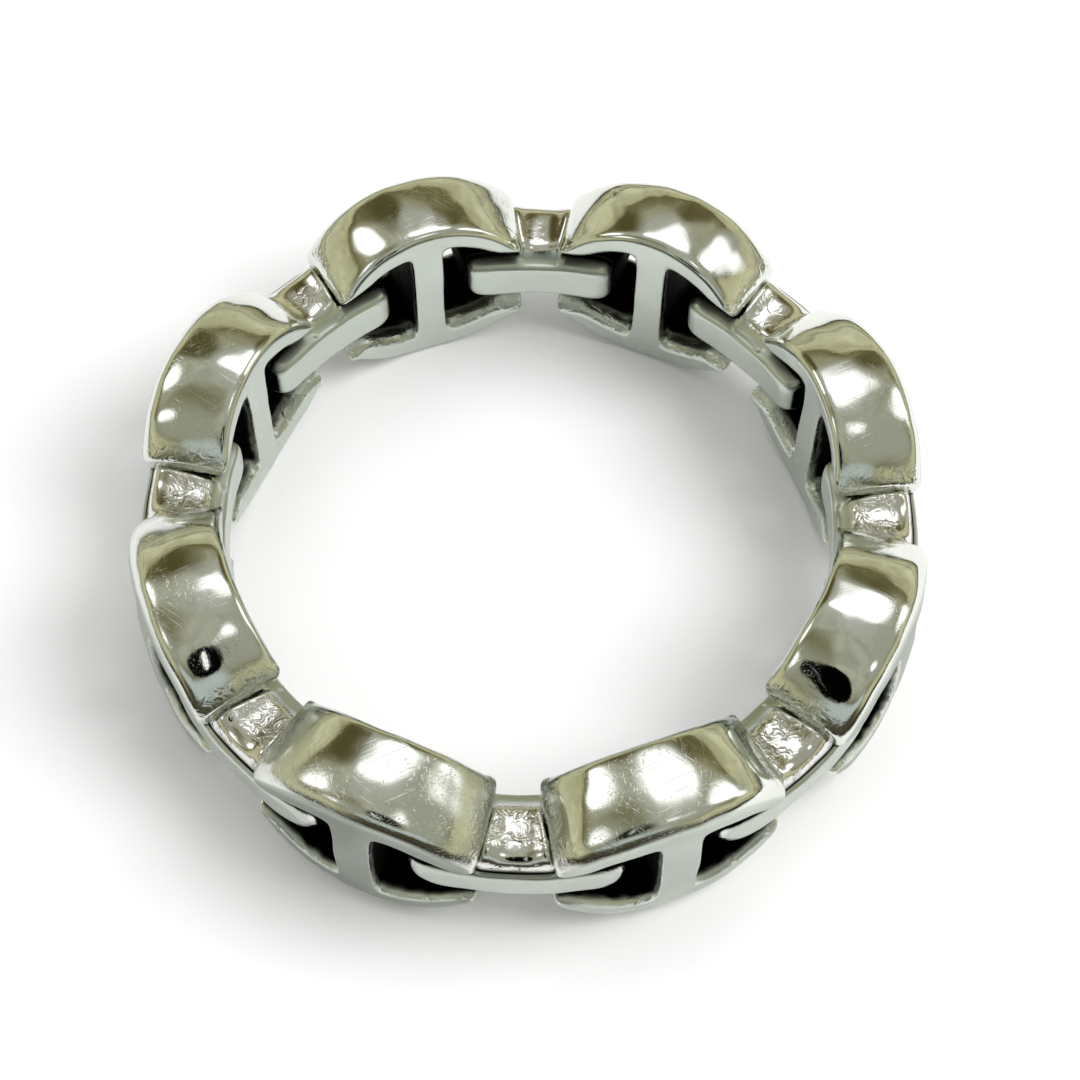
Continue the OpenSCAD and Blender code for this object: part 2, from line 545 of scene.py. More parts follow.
    def _scratches(self, tree: Tree, place: Socket) -> Socket:
        """Adds hairline scratches in a few directions.

        Args:
            tree: The finish's nodes.
            place: The place on the ring, in metres.

        Returns:
            Where the scratches lie, 0 to 1.
        """
        low, high = self.scratch_edges
        total = None
        for turn in self.scratch_turns:
            stretched = add_node(
                tree,
                "ShaderNodeMapping",
                {"Vector": place, "Rotation": turn, "Scale": (self.scratch_stretch, 1.0, 1.0)},
                vector_type="TEXTURE",
            )
            grain = {"Vector": stretched, "Scale": 1 / (self.scratch_mm * MM), "Detail": 2.0}
            hairs = add_node(tree, "ShaderNodeTexNoise", grain)
            edges = {"Value": hairs, "From Min": low, "From Max": high}
            thin = add_node(tree, "ShaderNodeMapRange", edges).outputs[0]
            if total is None:
                total = thin
            else:
                terms = {0: total, 1: thin}
                total = add_node(tree, "ShaderNodeMath", terms, operation="MAXIMUM").outputs[0]
        return total

    def _relief(self, tree: Tree, place: Socket, scratches: Socket, skin: Socket) -> Socket:
        """Adds the bumps: the folds of the casting skin, the frost of buffing, and the scratches.

        Args:
            tree: The finish's nodes.
            place: The place on the ring, in metres.
            scratches: Where the scratches lie.
            skin: How much of the casting skin is left.

        Returns:
            The surface's normal.
        """
        lumps = {
            "Vector": place,
            "Scale": 1 / (self.crinkle_mm * MM),
            "Detail": 2.0,
            "Distortion": self.crinkle_twist,
        }
        lumpy = add_node(tree, "ShaderNodeTexNoise", lumps)
        centred = add_node(tree, "ShaderNodeMath", {0: lumpy, 1: 0.5}, operation="SUBTRACT")
        creased = add_node(tree, "ShaderNodeMath", {0: centred}, operation="ABSOLUTE")
        folds = add_node(tree, "ShaderNodeMath", {0: lumpy, 1: 0.5, 2: creased}, operation="MULTIPLY_ADD")
        grain = {"Vector": place, "Scale": 1 / (self.frost_mm * MM), "Detail": 2.0}
        frost = add_node(tree, "ShaderNodeTexNoise", grain)
        crinkled = add_node(
            tree,
            "ShaderNodeBump",
            {"Strength": skin, "Distance": self.crinkle_depth_mm * MM, "Height": folds},
        )
        frosted = add_node(
            tree,
            "ShaderNodeBump",
            {
                "Strength": self.frost_strength,
                "Distance": self.frost_depth_mm * MM,
                "Height": frost,
                "Normal": crinkled,
            },
        )
        scratched = add_node(
            tree,
            "ShaderNodeBump",
            {
                "Strength": self.scratch_strength,
                "Distance": self.scratch_depth_mm * MM,
                "Height": scratches,
                "Normal": frosted,
            },
            invert=True,
        )
        return scratched.outputs[0]


@dataclass
class Link(ABC):
    """What the two kinds of link share. All sizes are in millimetres, and heights are half heights.

    Shares across the depth run from 0 at the finger to 1 at the outer face. A pair of sizes holds the one at
    the finger and the one at the outer face, unless its comment says otherwise.
    """

    ring: Ring

    # Satin ends this deep in a face's rims.
    satin_rim: Pair = (0.02, 0.06)

    # Where a pair's first value turns into its second across the depth, in the finish.
    turning: Pair = (0.3, 0.7)

    @abstractmethod
    def block(self) -> Cage:
        """Returns the closed block of cells that is formed into the link."""

    @abstractmethod
    def place(self, column: float, row: float, layer: int) -> Vector:
        """Places a corner of the block.

        Args:
            column: Its column, counted from the middle.
            row: Its row, counted from the middle.
            layer: Its layer, counted from the finger.

        Returns:
            Its place on the link.
        """

    @abstractmethod
    def work_end(self, link: Piece, side: int) -> None:
        """Adds or cuts what one end of the link holds its neighbour by.

        Args:
            link: The link.
            side: The end, -1 or 1.
        """

    @abstractmethod
    def finish(self, point: Vector, normal: Vector) -> Point:
        """Tells how the surface looks at a point.

        Args:
            point: The point on the link.
            normal: The direction that the surface faces there.

        Returns:
            Its satin, its tarnish with the painted shade, and its casting skin.
        """

    def built(self) -> Piece:
        """Builds the link at the origin, with its outer side along +Y.

        Returns:
            The link.
        """
        cage = self.block()
        cage.form(self.place)
        link = cage.rounded()
        for side in (-1, 1):
            self.work_end(link, side)
        mask = link.data.color_attributes.new(FINISH_MASK, "FLOAT_COLOR", "POINT")
        for vertex, entry in zip(link.data.vertices, mask.data):
            entry.color = (*self.finish(vertex.co, vertex.normal), 1)
        shade_smooth(link)
        return link


@dataclass
class AnchorLink(Link):
    """A tall link: two arched rails, a middle bar and a round bar across each end."""

    # The arch.
    depth: float = 2.8
    crest: Pair = (3.12, 2.95)
    tip: Pair = (1.50, 1.36)
    arch_span: float = 0.88
    side_swell: float = 0.16
    face_swell: float = 0.25

    # The room to the next anchor link before the corners are rounded, and the outer one afterwards.
    gap: Pair = (1.14, 2.30)
    outer_gap: float = 2.4

    # The middle bar's half width, the rails' thickness, and the slots that the cross links' bars lie in.
    bar: Pair = (0.5, 0.6)
    rail: Pair = (1.0, 1.1)
    least_rail: float = 0.06
    slot: Pair = (1.4, 0.77)

    # A window's corners by the middle bar: how wide they are, how far metal fills them, and how round the
    # window's rims are.
    window_corner: float = 0.34
    window_fill: float = 0.10
    window_round: float = 0.28

    # Rounded edges: the ends in plan, the arch's inner and its outer rim, each at the crest and at the ends,
    # and all the others.
    plan_corner: Pair = (0.12, 0.16)
    inner_roll: Pair = (0.14, 0.22)
    outer_roll: Pair = (0.26, 0.42)
    rim: float = 0.12

    # The round bar across each end.
    end_bar_r: float = 0.5

    # How far a surface faces up where a window's walls turn into its floor, and where into its roof.
    floor_slope: Pair = (0.2, 0.7)
    roof_slope: Pair = (-0.6, -0.1)

    # How near the link's end a window opens.
    open_end: Pair = (-0.2, -0.05)

    # The strength of the satin on a window's walls and on its ledge.
    satin_window: Pair = (0.3, 0.7)

    # In a window, tarnish starts this deep under the upper rail and on the walls. It wanders and fades in.
    tarnish_from: Pair = (0.01, 0.12)
    tarnish_wander: float = 0.10
    tarnish_wave: float = 0.4
    tarnish_fade: float = 0.2

    # The width of the clean ledge on the lower rail, which wear keeps bright.
    ledge: Pair = (0.46, 0.16)

    # The outer face is painted slightly darker and rougher, as painted shade for the shade that it mirrors
    # near the ring, but for a bright edge of this width below the arch.
    outer_painted_shade: float = 0.32
    shade_below_arch: Pair = (0.1, 0.6)

    # Casting skin is left in the windows and, less of it, near the ends.
    window_skin: float = 0.8
    crumpled_end: float = 0.5
    crumpled_reach: Pair = (-0.5, -0.2)
    skin_depth: Pair = (0.04, 0.2)

    # The block of cells that is rounded into the link.
    layers: tuple[float, ...] = (0, 0.05, 0.16, 0.38, 0.62, 0.84, 0.945, 1)
    half_columns: int = 10
    bar_columns: int = 2
    rail_rows: int = 4
    half_bar_rows: float = 2.5

    def radius(self, share: float) -> float:
        """Returns the radius at a share of the depth."""
        return self.ring.finger_r + self.depth * share

    def half_length(self, share: float) -> float:
        """Tells how long the link is.

        Args:
            share: The share of the depth.

        Returns:
            Half the length there.
        """
        radius = self.radius(share)
        gap_angle = math.asin(mix(*self.gap, share) / 2 / radius)
        return radius * math.sin(math.radians(self.ring.half_pitch) - gap_angle)

    def arch(self, along: float, share: float) -> float:
        """Gives the arch's height before its rims are rolled.

        Args:
            along: The share of the half length.
            share: The share of the depth.

        Returns:
            The half height there.
        """
        flat = 1 - math.sqrt(max(0.0, 1 - (self.arch_span * along) ** 2))
        fall = flat / (1 - math.sqrt(1 - self.arch_span ** 2))
        return mix(mix(*self.crest, share), mix(*self.tip, share), fall) + swell(self.side_swell, share)

    def dome(self, along: float, share: float) -> float:
        """Gives the arch's height with its rims rolled down to the two faces.

        Args:
            along: The share of the half length.
            share: The share of the depth.

        Returns:
            The half height there.
        """
        inner = quarter_round(mix(*self.inner_roll, along ** 4), share * self.depth)
        outer = quarter_round(mix(*self.outer_roll, along ** 4), (1 - share) * self.depth)
        return self.arch(along, share) - inner - outer

    def window(self, x: float, share: float) -> float:
        """Gives the height of the windows.

        Args:
            x: The distance from the link's middle.
            share: The share of the depth.

        Returns:
            A window's half height there.
        """
        x = max(x, mix(*self.bar, share))
        arch = self.arch(x / self.half_length(share), share) - swell(self.side_swell, share)
        rounding = quarter_round(self.window_round, min(share, 1 - share) * self.depth)
        return max(mix(*self.slot, share), arch - mix(*self.rail, share)) + rounding

    def outer_y(self, x: float, z: float) -> float:
        """Tells how far out the outer face lies: it curves tighter than the ring and swells.

        Args:
            x: The distance from the link's middle.
            z: The height above the link's middle.

        Returns:
            The distance from the ring's axis, along +Y.
        """
        outer_r = self.radius(1)
        cross_r = self.ring.cross_r
        angle = math.radians(self.ring.half_pitch) - math.asin(self.outer_gap / 2 / cross_r)
        half_chord = cross_r * math.sin(angle)
        drop = outer_r - cross_r * math.cos(angle)
        plan_r = (half_chord ** 2 + drop ** 2) / 2 / drop
        reach = plan_r + self.face_swell * (1 - (z / self.crest[1]) ** 2)
        return outer_r - plan_r + math.sqrt(reach * reach - x * x)

    def _column_x(self, column: float, share: float) -> float:
        """Places a column of the block.

        The first ones make the middle bar and the windows' corners, and the rest share out the arms, with a
        narrow one at the end that keeps it crisp.

        Args:
            column: The column, counted from the middle.
            share: The share of the depth.

        Returns:
            The distance from the link's middle.
        """
        step = abs(column)
        bar = mix(*self.bar, share)
        pull = quarter_round(self.plan_corner[0], share * self.depth)
        pull += quarter_round(self.plan_corner[1], (1 - share) * self.depth)
        end = self.half_length(share) - pull
        last = self.half_columns
        first = [0, bar - self.rim, bar, bar + self.window_corner]
        if step < len(first):
            return first[int(step)]
        if step == last:
            return end
        steps = last - len(first)
        return mix(first[-1], end - 1.6 * self.rim, (step - len(first) + 1) / steps)

    def _row_z(self, row: float, x: float, share: float) -> float:
        """Places a row of the block: three cross the middle bar's half, and four the rail above it.

        Args:
            row: The row, counted up from the middle.
            x: The distance from the link's middle.
            share: The share of the depth.

        Returns:
            The height above the link's middle.
        """
        window = self.window(x, share)
        arch = max(window + self.least_rail, self.dome(x / self.half_length(share), share))
        step = abs(row)
        if step <= self.half_bar_rows:
            heights = (window / 3, window - self.window_corner, window)
            return math.copysign(heights[int(step)], row)
        rim = min(self.rim, (arch - window) / 4)
        heights = (window + rim * 0.6, mix(window, arch, 0.5), arch - rim, arch)
        return math.copysign(heights[int(step - self.half_bar_rows) - 1], row)

    def place(self, column: float, row: float, layer: int) -> Vector:
        """Places a corner of the block.

        Args:
            column: Its column, counted from the middle.
            row: Its row, counted from the middle.
            layer: Its layer, counted from the finger.

        Returns:
            Its place on the link.
        """
        share = self.layers[layer]
        x = self._column_x(column, share)
        z = self._row_z(row, x, share)
        if abs(column) == self.bar_columns and abs(row) == self.half_bar_rows:
            x += self.window_fill
            z -= math.copysign(self.window_fill, row)
        inner_y = math.sqrt(self.ring.finger_r ** 2 - x * x)
        return Vector((math.copysign(x, column), mix(inner_y, self.outer_y(x, z), share), z))

    def block(self) -> Cage:
        """Returns the block of cells, with the two windows cut out."""
        rows = int(2 * (self.rail_rows + self.half_bar_rows))
        cage = Cage("anchor_link", 2 * self.half_columns, rows, len(self.layers) - 1)
        cage.cut_out(self._is_window)
        cage.thicken()
        return cage

    def _is_window(self, column: float, row: float) -> bool:
        """Tells whether a cell of the block is in a window."""
        return abs(column) > self.bar_columns and abs(row) < self.half_bar_rows

    def work_end(self, link: Piece, side: int) -> None:
        """Joins the round bar across one end to the link.

        Args:
            link: The link.
            side: The end, -1 or 1.
        """
        turn = math.radians(self.ring.half_pitch) - self.ring.eye_turn
        bar = self.ring.eye_cylinder(self.end_bar_r, 2 * min(self.tip) - self.rim, side * turn)
        apply_modifier(bar, "BEVEL", width=self.rim / 2, segments=2, limit_method="ANGLE")
        apply_modifier(link, "BOOLEAN", operation="UNION", object=bar, solver="EXACT")
        bpy.data.objects.remove(bar)

    def finish(self, point: Vector, normal: Vector) -> Point:
        """Tells where the satin faces, the blackened windows, the painted shade on the outer face and the
        casting skin are.

        Args:
            point: The point on the link.
            normal: The direction that the surface faces there.

        Returns:
            Its satin, tarnish and casting skin.
        """
        x, y, z = abs(point.x), point.y, abs(point.z)
        from_finger = math.hypot(x, y) - self.ring.finger_r
        from_outside = self.outer_y(x, z) - y
        nearest = min(from_finger, from_outside)
        share = min(1.0, max(0.0, from_finger / self.depth))
        to_end = x - self.half_length(share)
        satin = 1 - ease(*self.satin_rim, nearest)
        skin = self.crumpled_end * ease(*self.crumpled_reach, to_end) * ease(*self.skin_depth, nearest)
        # Painted shade: the outer face is darker and rougher, but for a bright edge below the arch.
        below_arch = self.arch(x / self.half_length(1), 1) - z
        painted_shade = self.outer_painted_shade * ease(*self.shade_below_arch, below_arch)
        painted_shade *= 1 - ease(*self.satin_rim, from_outside)
        top = self.window(x, share) + self.rim * (1 - ease(*self.open_end, to_end))
        if x <= mix(*self.bar, share) - self.rim or z >= top:
            return satin, painted_shade, skin
        on_ledge = ease(*self.floor_slope, normal.z)
        wall = mix(*self.tarnish_from, ease(*self.roof_slope, normal.z))
        edge = mix(wall, mix(*self.ledge, ease(*self.turning, share)), on_ledge)
        edge += self.tarnish_wander * noise.noise(point / self.tarnish_wave)
        black = ease(edge, edge + self.tarnish_fade, nearest)
        satin = max(satin, mix(*self.satin_window, on_ledge))
        if nearest > self.skin_depth[0]:
            skin = self.window_skin
        return satin, max(black, painted_shade), skin


@dataclass
class CrossLink(Link):
    """A low link between two anchor links: an inner and an outer bar, a crinkled middle and two eyes."""

    # The bars' half heights and half lengths, the rounding of their long edges, and how far the outer one
    # stands out past the middle.
    bar: Pair = (0.70, 0.70)
    half_length: Pair = (2.30, 3.32)
    bar_roll: Pair = (0.09, 0.26)
    proud: float = 0.10

    # The rounding of the bars' noses, in plan and from the side.
    nose_plan: Pair = (0.34, 0.50)
    nose_upright: Pair = (0.34, 0.60)

    # The middle between the anchor links: its half width, its rise above the bars, its curl up to the
    # domes, the shares of the depth where its flat top ends and the groove lies, and the groove's depth.
    half_gap: Pair = (0.565, 1.13)
    body_rise: float = 0.38
    curl_rise: Pair = (0.12, 0.50)
    shoulder: Pair = (0.70, 0.955)
    groove_depth: float = 0.10

    # The arms swell towards the eyes, as far as the anchor links' slots allow.
    arm_swell: float = 0.275
    slot: Pair = (1.4, 0.79)
    slot_play: float = 0.09
    rim: float = 0.09
    eye_r: float = 0.6

    # Satin reaches deeper on the outer bar, and on the inner one, where it is also coarser.
    inner_satin: Pair = (0.4, 0.6)
    inner_coarseness: float = 1.5
    outer_satin: Pair = (0.12, 0.2)

    # How far a surface faces up where a bar's side turns into its top.
    top_slope: Pair = (0.2, 0.6)

    # Past the middle, metal is bright this deep on the bars' tops and on their noses, and then black.
    bright_depth: Pair = (0.6, 0.05)
    bright_nose: float = 0.25
    tarnish_past: Pair = (0.02, 0.1)
    tarnish_fade: float = 0.05

    # The outer face is painted slightly darker and rougher, as painted shade, down to this far behind it.
    outer_painted_shade: float = 0.10
    shade_depth: Pair = (0.1, 0.2)

    # Where, across the depth, the groove that is drawn black, the crinkled middle and its crinkled lip start
    # and end.
    groove_edges: tuple[Pair, Pair] = ((0.935, 0.955), (0.97, 0.985))
    skin_edges: tuple[Pair, Pair] = ((0.16, 0.22), (0.66, 0.80))
    lip_edges: tuple[Pair, Pair] = ((0.88, 0.92), (0.955, 0.96))

    # The heights above which the middle and its lip are crinkled, how strongly the lip is, and how softly
    # the crinkle ends towards the domes.
    skin_height: Pair = (0.5, 0.7)
    lip_height: Pair = (0.66, 0.72)
    lip_skin: float = 0.8
    skin_fade: float = 0.1

    # The block of cells that is rounded into the link.
    layers: tuple[float, ...] = (
        0, 0.03, 0.08, 0.14, 0.20, 0.27, 0.42, 0.57, 0.70, 0.80, 0.88, 0.93, 0.955, 0.985, 1,
    )
    half_columns: int = 9
    half_rows: int = 4

    @property
    def depth(self) -> float:
        """The link's radial depth."""
        return self.ring.cross_r - self.ring.finger_r

    def radius(self, share: float) -> float:
        """Gives the radius: behind the groove, the outer bar stands a little proud.

        Args:
            share: The share of the depth.

        Returns:
            The radius there.
        """
        groove = self.shoulder[1]
        outward = max(0.0, share - groove) / (1 - groove)
        return self.ring.finger_r + self.depth * share + self.proud * outward

    def _rise(self, x: float, share: float) -> float:
        """Tells how far the middle stands above the bars.

        It slopes up from the inner bar to a flat top, rolls down to a groove behind the outer bar, and curls
        up to the domes.

        Args:
            x: The distance from the link's middle.
            share: The share of the depth.

        Returns:
            The rise there.
        """
        first, last = self.shoulder
        if share >= last:
            return -self.groove_depth if share == last else 0
        step = ease(self.layers[2], self.layers[5], share)
        outward = max(0.0, share - first) / (last - first)
        near_dome = min(1.0, x / mix(*self.half_gap, share))
        curl = mix(*self.curl_rise, share) * near_dome ** 4
        return step * (self.body_rise + curl) * math.sqrt(1 - outward ** 2)

    def half_height(self, x: float, share: float) -> float:
        """Gives the link's height.

        Args:
            x: The distance from the link's middle.
            share: The share of the depth.

        Returns:
            The half height there.
        """
        bar = mix(*self.bar, share)
        bar -= quarter_round(self.bar_roll[0], share * self.depth)
        bar -= quarter_round(self.bar_roll[1], self.radius(1) - self.radius(share))
        if x > mix(*self.half_gap, share):
            swollen = bar + swell(self.arm_swell, share)
            full = min(swollen, mix(*self.slot, share) - self.slot_play)
        else:
            full = bar + self._rise(x, share)
        return full - quarter_round(mix(*self.nose_upright, share), max(0.0, self._end(share) - x))

    def _end(self, share: float) -> float:
        """Tells how far the nose reaches.

        Args:
            share: The share of the depth.

        Returns:
            The distance from the link's middle.
        """
        pull = quarter_round(self.nose_plan[0], share * self.depth)
        pull += quarter_round(self.nose_plan[1], (1 - share) * self.depth)
        return mix(*self.half_length, share) - pull

    def _column_x(self, column: float, share: float) -> float:
        """Places a column of the block: three cross the middle's half, a step follows, then arm and nose.

        Args:
            column: The column, counted from the middle.
            share: The share of the depth.

        Returns:
            The distance from the link's middle.
        """
        gap = mix(*self.half_gap, share)
        end = self._end(share)
        upright = mix(*self.nose_upright, share)
        nose = end - upright
        middle = (0, gap * 0.55, gap - 0.04)
        arm = (gap + 0.005, mix(gap, nose, 0.35), mix(gap, nose, 0.7), nose)
        rounding = (end - upright * 0.5, end - upright * 0.15, end)
        return (*middle, *arm, *rounding)[abs(int(column))]

    def place(self, column: float, row: float, layer: int) -> Vector:
        """Places a corner of the block.

        Args:
            column: Its column, counted from the middle.
            row: Its row, counted from the middle.
            layer: Its layer, counted from the finger.

        Returns:
            Its place on the link.
        """
        share = self.layers[layer]
        x = self._column_x(column, share)
        height = self.half_height(x, share)
        rows = (0, height * 0.4, height * 0.75, height - min(self.rim, height * 0.15), height)
        z = math.copysign(rows[abs(int(row))], row)
        return Vector((math.copysign(x, column), math.sqrt(self.radius(share) ** 2 - x * x), z))

    def block(self) -> Cage:
        """Returns the block of cells."""
        cage = Cage("cross_link", 2 * self.half_columns, 2 * self.half_rows, len(self.layers) - 1)
        cage.thicken()
        return cage

    def work_end(self, link: Piece, side: int) -> None:
        """Cuts the eye that one end bar passes through.

        Args:
            link: The link.
            side: The end, -1 or 1.
        """
        drill = self.ring.eye_cylinder(self.eye_r, 4 * self.bar[0], side * self.ring.eye_turn)
        apply_modifier(link, "BOOLEAN", operation="DIFFERENCE", object=drill, solver="EXACT")
        bpy.data.objects.remove(drill)

    def finish(self, point: Vector, normal: Vector) -> Point:
        """Tells where the satin bars, the blackened eyes and groove, the painted shade on the outer face and
        the crinkled middle are.

        Args:
            point: The point on the link.
            normal: The direction that the surface faces there.

        Returns:
            Its satin, its tarnish with the painted shade, and its casting skin.
        """
        z = abs(point.z)
        radius = point.xy.length
        from_finger, from_outside = radius - self.ring.finger_r, self.radius(1) - radius
        nearest = min(from_finger, from_outside)
        share = from_finger / self.depth
        past_middle = abs(point.x) - mix(*self.half_gap, share)
        satin = max(
            1 - ease(*self.satin_rim, nearest),
            self.inner_coarseness * (1 - ease(*self.inner_satin, from_finger)),
            1 - ease(*self.outer_satin, from_outside),
        )
        on_top = ease(*self.top_slope, abs(normal.z))
        bright = mix(*self.bright_depth, ease(*self.turning, share))
        bright = mix(self.bright_nose, bright, on_top)
        black = ease(bright, bright + self.tarnish_fade, nearest) * ease(*self.tarnish_past, past_middle)
        groove = band(*self.groove_edges, share) * on_top
        # Painted shade: the outer face is slightly darker and rougher.
        painted_shade = self.outer_painted_shade * (1 - ease(*self.shade_depth, from_outside))
        body = band(*self.skin_edges, share) * ease(*self.skin_height, z)
        lip = self.lip_skin * band(*self.lip_edges, share) * ease(*self.lip_height, z)
        skin = max(body, lip) * (1 - ease(-self.skin_fade, self.skin_fade, past_middle))
        return satin, max(black, groove, painted_shade), skin


@dataclass(frozen=True)
class Wear:
    """What the years have done to one link.

    Scratched says how much haze and how many scratches it has, 0 to 1. The tarnish and shade power is the
    power that its tarnish and painted shade are raised to: above 1 its outer faces are painted lighter,
    below 1 darker. Rubbed is the share of the casting skin that is worn off. A pit is the place of one small
    dent, in millimetres.
    """

    scratched: float = 0.3
    # The power that tarnish and painted shade are raised to; it sets how dark the link's painted shade is.
    tarnish_and_shade_power: float = 1.0
    rubbed: float = 0.0
    pit: Point | None = None
    pit_depth: float = 0.07
    pit_tarnish: float = 0.9

    def punch(self, piece: Piece) -> None:
        """Punches the link's pit, if it has one, and tarnishes it.

        Args:
            piece: The link, in its place in the ring.
        """
        if self.pit is None:
            return
        place = Vector(self.pit) * MM
        centre = min(piece.data.vertices, key=lambda v: (v.co - place).length)
        entry = piece.data.color_attributes[FINISH_MASK].data[centre.index]
        entry.color = (entry.color[0], self.pit_tarnish, entry.color[2], 1)
        centre.co -= centre.normal * self.pit_depth * MM

    def rub(self, piece: Piece) -> None:
        """Brings the link's own wear into its mask.

        Args:
            piece: The link.
        """
        for entry in piece.data.color_attributes[FINISH_MASK].data:
            satin, black, skin, _ = entry.color
            # The green channel holds tarnish and painted shade, both raised to the link's power.
            tarnish = max(0.0, black) ** self.tarnish_and_shade_power
            entry.color = (satin, tarnish, skin * (1 - self.rubbed), self.scratched)


# The links that differ from the rest. The two nearest the viewer are the most scratched, and anchor_link_6
# has darker painted shade and anchor_link_7 lighter.
WEAR = {
    "anchor_link_1": Wear(scratched=0.5),
    "anchor_link_2": Wear(rubbed=0.3, pit=(2.36, 11.20, 5.75)),
    "anchor_link_3": Wear(rubbed=0.3),
    "anchor_link_4": Wear(scratched=0.5),
    "anchor_link_5": Wear(scratched=0.6),
    "anchor_link_6": Wear(scratched=1.0, tarnish_and_shade_power=0.8),
    "anchor_link_7": Wear(scratched=1.0, tarnish_and_shade_power=1.7),
    "cross_link_2": Wear(rubbed=0.7),
    "cross_link_3": Wear(rubbed=0.85),
    "cross_link_4": Wear(rubbed=0.7),
}


@dataclass(frozen=True)
class Lamp:
    """A lamp of the studio, which the silver doesn't mirror. In degrees and millimetres."""

    name: str
    azimuth: float
    elevation: float
    distance: float
    size: float
    radiance: float

    def light(self, target: Vector) -> None:
        """Hangs the lamp so that it faces the target.

        Args:
            target: The point that it faces, in metres.
        """
        data = bpy.data.lights.new(self.name, "AREA")
        data.shape = "ELLIPSE"
        data.size = data.size_y = self.size * MM
        area = math.pi / 4 * data.size * data.size_y
        data.energy = self.radiance * math.pi * area
        lamp = bpy.data.objects.new(self.name, data)
        bpy.context.scene.collection.objects.link(lamp)
        away = direction(self.azimuth, self.elevation)
        lamp.location = target + away * self.distance * MM
        lamp.rotation_euler = away.to_track_quat("Z", "Y").to_euler()
        lamp.visible_glossy = False


@dataclass(frozen=True)
class Patch:
    """A soft-edged part of the room that the silver mirrors. In degrees.

    Its middle is evenly lit out to the core, and it fades to nothing at the radius.
    """

    azimuth: float
    elevation: float
    core: float
    radius: float
    colour: str
    strength: float = 1.0

    def laid(self, tree: Tree, away: Socket, seen: Socket) -> Socket:
        """Lays the patch over what the room shows so far.

        Args:
            tree: The room's nodes.
            away: The direction that is looked in.
            seen: The colour without the patch.

        Returns:
            The colour with the patch.
        """
        middle = direction(self.azimuth, self.elevation)
        nearness = add_node(tree, "ShaderNodeVectorMath", {0: away, 1: middle}, operation="DOT_PRODUCT")
        edges = {
            "Value": nearness.outputs["Value"],
            "From Min": math.cos(math.radians(self.radius)),
            "From Max": math.cos(math.radians(self.core)),
        }
        share = add_node(tree, "ShaderNodeMapRange", edges, interpolation_type="SMOOTHSTEP")
        colour = [self.strength * channel for channel in linear(self.colour)[:3]] + [1.0]
        colours = {FACTOR: share, COLOUR_A: seen, COLOUR_B: colour}
        return add_node(tree, "ShaderNodeMix", colours, data_type="RGBA").outputs[BLEND]


@dataclass(frozen=True)
class Shade:
    """An oval close to the ring that only the silver mirrors. In millimetres."""

    name: str
    centre: Point
    half_size: Pair
    brightness: float
    faces: Point = (0.0, 0.0, 3.0)
    away_from: Point | None = None

    def hang(self) -> None:
        """Adds the oval, facing its point, and edge-on to the point that it is turned away from."""
        bpy.ops.object.select_all(action="DESELECT")
        bpy.ops.mesh.primitive_circle_add(vertices=48, radius=MM, fill_type="NGON")
        oval = bpy.context.active_object
        oval.name = self.name
        centre = Vector(self.centre)
        front = (Vector(self.faces) - centre).normalized()
        side = Vector((0, 0, 1)).cross(front).normalized()
        up = front.cross(side)
        if self.away_from:
            side = (Vector(self.away_from) - centre).normalized()
            front = side.cross(up).normalized()
            up = front.cross(side)
        pose = Matrix((side * self.half_size[0], up * self.half_size[1], front)).transposed().to_4x4()
        pose.translation = centre * MM
        oval.matrix_world = pose
        oval.data.materials.append(glowing(self.name, self.brightness))
        oval.visible_camera = oval.visible_diffuse = oval.visible_shadow = False


